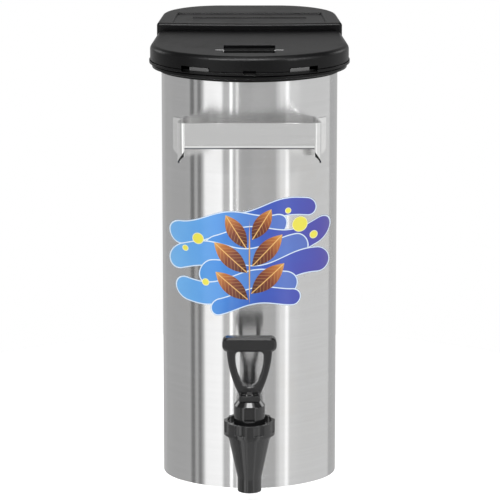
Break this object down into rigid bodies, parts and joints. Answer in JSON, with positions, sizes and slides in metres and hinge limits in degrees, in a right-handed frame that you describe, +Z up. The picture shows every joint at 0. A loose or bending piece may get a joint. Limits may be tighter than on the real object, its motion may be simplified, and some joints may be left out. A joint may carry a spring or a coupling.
{
  "type": "iced tea dispenser",
  "caption": "Oval stainless tea urn with a hinged black lid, strap handles and a loop-handled tap low on its front.",
  "frame": {"origin": "middle of the oval footprint, on the plane the urn stands on", "axes": "+Z up, -Y towards the tap and the user, +X to the user's right"},
  "size_m": [0.188, 0.3277, 0.4218],
  "materials": {
    "brushed_wall": "brushed level, along the wall's girth",
    "plain_sheet": "satin",
    "handle_sheet": "fine brushed along the strap",
    "printed_film": "gloss printed film",
    "lid_plastic": "satin with a fine grain",
    "catch_plastic": "satin",
    "door_plastic": "satin",
    "screw_steel": "plain",
    "bright_pin": "polished",
    "tap_plastic": "gloss",
    "stem_plastic": "satin",
    "spring_steel": "plain",
    "pale_silicone": "translucent silicone",
    "dark_rubber": "soft",
    "nut_plastic": "satin"
  },
  "bodies": {
    "tank": {"tank_wall": "brushed_wall", "tank_floor": "plain_sheet", "front_handle": "handle_sheet", "rear_handle": "handle_sheet", "front_decal": "printed_film", "tap_body": "tap_plastic", "tap_bonnet": "tap_plastic", "outer_washer": "dark_rubber", "inner_washer": "dark_rubber", "lock_nut": "nut_plastic"},
    "lid": {"lid_frame": "lid_plastic", "lid_gasket": "pale_silicone", "left_catch": "catch_plastic", "right_catch": "catch_plastic", "rear_hood": "lid_plastic", "hood_screws": "screw_steel", "cover_hinge_pin": "screw_steel"},
    "cover": {"front_cover": "lid_plastic", "fill_door_pin": "bright_pin"},
    "door": {"fill_door": "door_plastic"},
    "handle": {"tap_handle": "tap_plastic", "handle_pin": "bright_pin"},
    "valve": {"valve_stem": "stem_plastic", "seat_cup": "pale_silicone", "stem_spring": "spring_steel"}
  },
  "joints": [
    {"name": "lid_lift", "type": "slide", "parent": "tank", "child": "lid", "axis": [0, 0, 1], "range_m": [0, 0.08]},
    {"name": "cover_hinge", "type": "hinge", "parent": "lid", "child": "cover", "pos_m": [0, 0.0105, 0.4104], "axis": [-1, 0, 0], "range_deg": [0, 88]},
    {"name": "fill_door_hinge", "type": "hinge", "parent": "cover", "child": "door", "pos_m": [0, -0.088, 0.414], "axis": [1, 0, 0], "range_deg": [0, 85]},
    {"name": "handle_pull", "type": "hinge", "parent": "tank", "child": "handle", "pos_m": [0, -0.17, 0.101], "axis": [1, 0, 0], "range_deg": [0, 28], "stiffness_Nm_per_rad": 0.5, "springref_deg": -11.46},
    {"name": "stem_lift", "type": "slide", "parent": "tank", "child": "valve", "axis": [0, 0, 1], "range_m": [0, 0.0042], "deforming": ["stem_spring"]}
  ],
  "couplings": [
    {"joint": "stem_lift", "follows": "handle_pull", "m_per_rad": 0.0075669}
  ]
}
